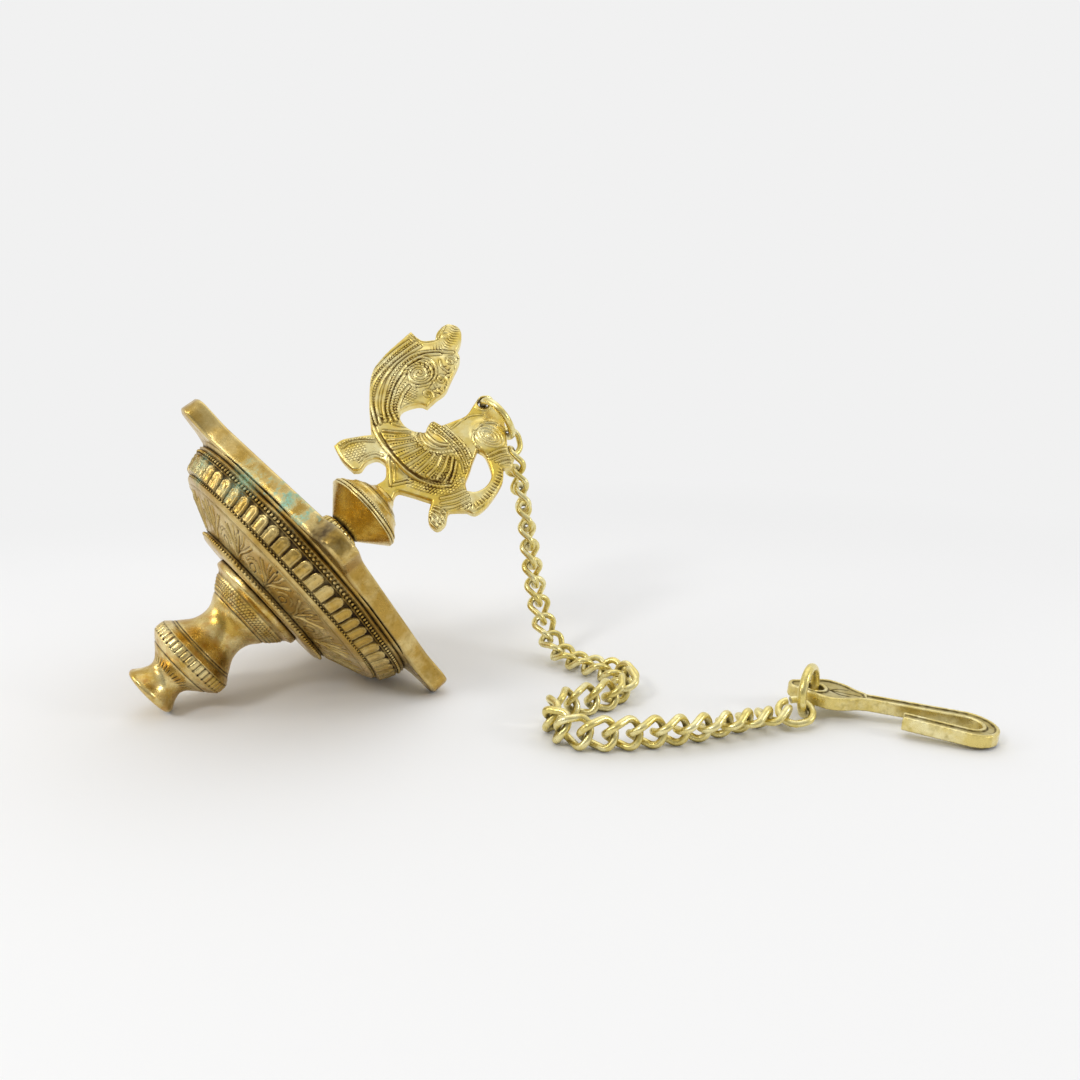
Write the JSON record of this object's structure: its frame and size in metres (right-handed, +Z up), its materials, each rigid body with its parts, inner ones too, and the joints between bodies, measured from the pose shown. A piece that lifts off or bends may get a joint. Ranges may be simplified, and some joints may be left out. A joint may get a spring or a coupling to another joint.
{
  "type": "hanging chain oil lamp",
  "caption": "Brass hanging oil lamp with beaked bowl, turned finial, peacock figure, curb chain and flat hook, lying at rest.",
  "frame": {"origin": "on the floor, under the middle of the whole object as it lies", "axes": "+X from the lamp towards the hook, +Y away from the viewer, +Z up"},
  "size_m": [0.2746, 0.1224, 0.1277],
  "materials": {
    "aged_brass": "satin",
    "bright_brass": "polished",
    "satin_brass": "satin"
  },
  "bodies": {
    "lamp": {"oil_bowl": "aged_brass", "drop_finial": "aged_brass", "centre_stud": "aged_brass", "stem": "aged_brass", "beaded_collar": "aged_brass", "upper_stud": "aged_brass", "knob": "aged_brass", "bird": "bright_brass"},
    "top_ring": {"top_ring": "satin_brass"},
    "top_link": {"top_link": "satin_brass"},
    "link_01": {"link_01": "satin_brass"},
    "link_02": {"link_02": "satin_brass"},
    "link_03": {"link_03": "satin_brass"},
    "link_04": {"link_04": "satin_brass"},
    "link_05": {"link_05": "satin_brass"},
    "link_06": {"link_06": "satin_brass"},
    "link_07": {"link_07": "satin_brass"},
    "link_08": {"link_08": "satin_brass"},
    "link_09": {"link_09": "satin_brass"},
    "link_10": {"link_10": "satin_brass"},
    "link_11": {"link_11": "satin_brass"},
    "link_12": {"link_12": "satin_brass"},
    "link_13": {"link_13": "satin_brass"},
    "link_14": {"link_14": "satin_brass"},
    "link_15": {"link_15": "satin_brass"},
    "link_16": {"link_16": "satin_brass"},
    "link_17": {"link_17": "satin_brass"},
    "link_18": {"link_18": "satin_brass"},
    "link_19": {"link_19": "satin_brass"},
    "link_20": {"link_20": "satin_brass"},
    "link_21": {"link_21": "satin_brass"},
    "link_22": {"link_22": "satin_brass"},
    "link_23": {"link_23": "satin_brass"},
    "link_24": {"link_24": "satin_brass"},
    "link_25": {"link_25": "satin_brass"},
    "link_26": {"link_26": "satin_brass"},
    "link_27": {"link_27": "satin_brass"},
    "link_28": {"link_28": "satin_brass"},
    "link_29": {"link_29": "satin_brass"},
    "link_30": {"link_30": "satin_brass"},
    "link_31": {"link_31": "satin_brass"},
    "link_32": {"link_32": "satin_brass"},
    "link_33": {"link_33": "satin_brass"},
    "end_link": {"end_link": "satin_brass"},
    "end_ring": {"end_ring": "satin_brass"},
    "hook": {"hook": "satin_brass"}
  },
  "joints": [
    {"name": "top_ring_swing", "type": "hinge", "parent": "lamp", "child": "top_ring", "pos_m": [-0.02457, 0.04015, 0.09623], "axis": [0.0828, -0.8233, 0.5615], "range_deg": [-0.8, 11.9]},
    {"name": "top_link_swing", "type": "hinge", "parent": "top_ring", "child": "top_link", "pos_m": [-0.01505, 0.03922, 0.08403], "axis": [0.5027, -0.8642, 0.0231], "range_deg": [-4.2, 16]},
    {"name": "link_01_swing", "type": "hinge", "parent": "top_link", "child": "link_01", "pos_m": [-0.01361, 0.03735, 0.07814], "axis": [-0.4011, 0.8328, -0.3815], "range_deg": [-2.5, 3.4]},
    {"name": "link_02_swing", "type": "hinge", "parent": "link_01", "child": "link_02", "pos_m": [-0.0118, 0.0351, 0.07133], "axis": [0.9445, 0.3051, 0.1215], "range_deg": [-16, 16]},
    {"name": "link_03_swing", "type": "hinge", "parent": "link_02", "child": "link_03", "pos_m": [-0.01023, 0.03296, 0.06443], "axis": [0.0941, -0.9511, 0.2943], "range_deg": [-16, 16]},
    {"name": "link_04_swing", "type": "hinge", "parent": "link_03", "child": "link_04", "pos_m": [-0.00883, 0.03094, 0.05745], "axis": [-0.9845, 0.0141, -0.1749], "range_deg": [-16, 16]},
    {"name": "link_05_swing", "type": "hinge", "parent": "link_04", "child": "link_05", "pos_m": [-0.00761, 0.02908, 0.0504], "axis": [0.1946, 0.9616, -0.1934], "range_deg": [-16, 16]},
    {"name": "link_06_swing", "type": "hinge", "parent": "link_05", "child": "link_06", "pos_m": [-0.00656, 0.02744, 0.04327], "axis": [0.9496, -0.2569, 0.1799], "range_deg": [-16, 16]},
    {"name": "link_07_swing", "type": "hinge", "parent": "link_06", "child": "link_07", "pos_m": [-0.0056, 0.02595, 0.03609], "axis": [-0.3493, -0.9256, 0.1458], "range_deg": [-16, 16]},
    {"name": "link_08_swing", "type": "hinge", "parent": "link_07", "child": "link_08", "pos_m": [-0.00453, 0.02442, 0.02894], "axis": [-0.8936, 0.3611, -0.2666], "range_deg": [-16, 16]},
    {"name": "link_09_swing", "type": "hinge", "parent": "link_08", "child": "link_09", "pos_m": [-0.00315, 0.02262, 0.0219], "axis": [0.4921, 0.857, -0.1532], "range_deg": [-16, 16]},
    {"name": "link_10_swing", "type": "hinge", "parent": "link_09", "child": "link_10", "pos_m": [-0.00139, 0.02039, 0.01507], "axis": [0.7348, -0.443, 0.5136], "range_deg": [-16, 16]},
    {"name": "link_11_swing", "type": "hinge", "parent": "link_10", "child": "link_11", "pos_m": [0.00109, 0.01727, 0.00884], "axis": [-0.6834, -0.7054, 0.1883], "range_deg": [-16, 16]},
    {"name": "link_12_swing", "type": "hinge", "parent": "link_11", "child": "link_12", "pos_m": [0.00501, 0.01241, 0.00489], "axis": [-0.2508, 0.0101, -0.968], "range_deg": [-16, 16]},
    {"name": "link_13_swing", "type": "hinge", "parent": "link_12", "child": "link_13", "pos_m": [0.01002, 0.00714, 0.00354], "axis": [0.6454, 0.7534, -0.1262], "range_deg": [-16, 16]},
    {"name": "link_14_swing", "type": "hinge", "parent": "link_13", "child": "link_14", "pos_m": [0.01564, 0.00233, 0.00357], "axis": [-0.0129, 0.0486, 0.9987], "range_deg": [-16, 16]},
    {"name": "link_15_swing", "type": "hinge", "parent": "link_14", "child": "link_15", "pos_m": [0.02111, -0.00263, 0.00388], "axis": [-0.7587, -0.5938, -0.2677], "range_deg": [-16, 16]},
    {"name": "link_16_swing", "type": "hinge", "parent": "link_15", "child": "link_16", "pos_m": [0.02546, -0.00855, 0.00469], "axis": [0.544, 0.059, -0.837], "range_deg": [-16, 16]},
    {"name": "link_17_swing", "type": "hinge", "parent": "link_16", "child": "link_17", "pos_m": [0.02727, -0.01569, 0.00536], "axis": [0.6334, -0.1109, 0.7658], "range_deg": [-16, 16]},
    {"name": "link_18_swing", "type": "hinge", "parent": "link_17", "child": "link_18", "pos_m": [0.02578, -0.02293, 0.00554], "axis": [-0.6991, 0.6113, 0.3709], "range_deg": [-16, 16]},
    {"name": "link_19_swing", "type": "hinge", "parent": "link_18", "child": "link_19", "pos_m": [0.02092, -0.02851, 0.00558], "axis": [-0.0384, 0.0755, -0.9964], "range_deg": [-16, 16]},
    {"name": "link_20_swing", "type": "hinge", "parent": "link_19", "child": "link_20", "pos_m": [0.01437, -0.03193, 0.00557], "axis": [0.3959, -0.9167, -0.0545], "range_deg": [-16, 16]},
    {"name": "link_21_swing", "type": "hinge", "parent": "link_20", "child": "link_21", "pos_m": [0.00758, -0.03486, 0.00557], "axis": [0.0162, -0.0181, 0.9997], "range_deg": [-16, 16]},
    {"name": "link_22_swing", "type": "hinge", "parent": "link_21", "child": "link_22", "pos_m": [0.00209, -0.03981, 0.00557], "axis": [-0.9829, 0.1841, -0.0061], "range_deg": [-14.4, 16]},
    {"name": "link_23_swing", "type": "hinge", "parent": "link_22", "child": "link_23", "pos_m": [0.00073, -0.04707, 0.00557], "axis": [0.0325, 0.0164, -0.9993], "range_deg": [-14.4, 16]},
    {"name": "link_24_swing", "type": "hinge", "parent": "link_23", "child": "link_24", "pos_m": [0.00394, -0.05373, 0.00557], "axis": [0.4458, 0.8927, 0.0666], "range_deg": [-16, 13.6]},
    {"name": "link_25_swing", "type": "hinge", "parent": "link_24", "child": "link_25", "pos_m": [0.01056, -0.05704, 0.00559], "axis": [-0.0137, -0.1267, 0.9918], "range_deg": [-16, 16]},
    {"name": "link_26_swing", "type": "hinge", "parent": "link_25", "child": "link_26", "pos_m": [0.01794, -0.0574, 0.00565], "axis": [0.0565, -0.9664, -0.2507], "range_deg": [-16, 16]},
    {"name": "link_27_swing", "type": "hinge", "parent": "link_26", "child": "link_27", "pos_m": [0.02532, -0.05697, 0.00567], "axis": [-0.0502, 0.3668, -0.9289], "range_deg": [-16, 16]},
    {"name": "link_28_swing", "type": "hinge", "parent": "link_27", "child": "link_28", "pos_m": [0.03266, -0.05604, 0.00564], "axis": [-0.1629, 0.8598, 0.4839], "range_deg": [-16, 16]},
    {"name": "link_29_swing", "type": "hinge", "parent": "link_28", "child": "link_29", "pos_m": [0.03991, -0.05462, 0.00556], "axis": [0.1698, -0.5651, 0.8073], "range_deg": [-16, 16]},
    {"name": "link_30_swing", "type": "hinge", "parent": "link_29", "child": "link_30", "pos_m": [0.04704, -0.05266, 0.00544], "axis": [0.2305, -0.6896, -0.6865], "range_deg": [-16, 16]},
    {"name": "link_31_swing", "type": "hinge", "parent": "link_30", "child": "link_31", "pos_m": [0.054, -0.05017, 0.00528], "axis": [-0.3101, 0.7077, -0.6348], "range_deg": [-16, 16]},
    {"name": "link_32_swing", "type": "hinge", "parent": "link_31", "child": "link_32", "pos_m": [0.06084, -0.04736, 0.00509], "axis": [-0.1803, 0.5026, 0.8455], "range_deg": [-16, 16]},
    {"name": "link_33_swing", "type": "hinge", "parent": "link_32", "child": "link_33", "pos_m": [0.06763, -0.04445, 0.00481], "axis": [0.3922, -0.8176, 0.4216], "range_deg": [-16, 16]},
    {"name": "end_link_swing", "type": "hinge", "parent": "link_33", "child": "end_link", "pos_m": [0.07438, -0.04148, 0.00429], "axis": [0.2117, -0.879, -0.4273], "range_deg": [-11.9, 11.9]},
    {"name": "end_ring_swing", "type": "hinge", "parent": "end_link", "child": "end_ring", "pos_m": [0.08058, -0.04038, 0.00511], "axis": [0.2117, -0.879, -0.4273], "range_deg": [-11.9, 6]},
    {"name": "hook_turn", "type": "hinge", "parent": "end_ring", "child": "hook", "pos_m": [0.08783, -0.02992, 0.00672], "axis": [0.0734, -0.0222, 0.9971], "range_deg": [-16, 16]}
  ]
}
